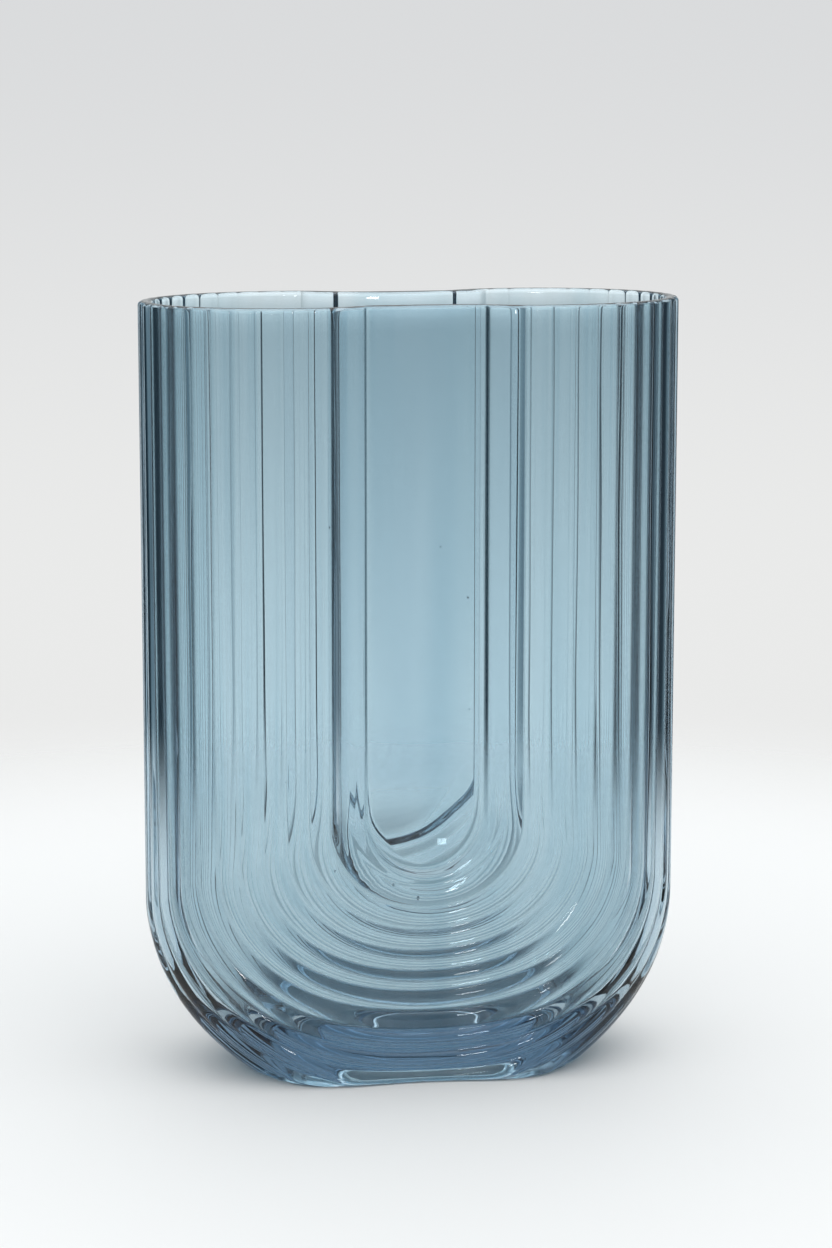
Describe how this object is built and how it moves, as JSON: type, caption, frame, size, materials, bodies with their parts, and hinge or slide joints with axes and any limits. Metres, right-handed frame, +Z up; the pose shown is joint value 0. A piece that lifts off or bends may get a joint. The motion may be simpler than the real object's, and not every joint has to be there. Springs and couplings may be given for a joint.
{
  "type": "glass bud vase",
  "caption": "Tall flattened glass vase with an open mouth, nested U-shaped ribs and a plain recessed panel on both broad faces, a thick floor and a flat foot.",
  "frame": {"origin": "centre of the flat underside of the foot", "axes": "+Z up through the open mouth, +X along the broad face, -Y out of the front face"},
  "size_m": [0.16, 0.074, 0.23],
  "materials": {
    "blue_glass": "fire-polished, clear light steel-blue glass tinted in the body"
  },
  "bodies": {
    "root": {"glass_vase": "blue_glass"}
  },
  "joints": []
}
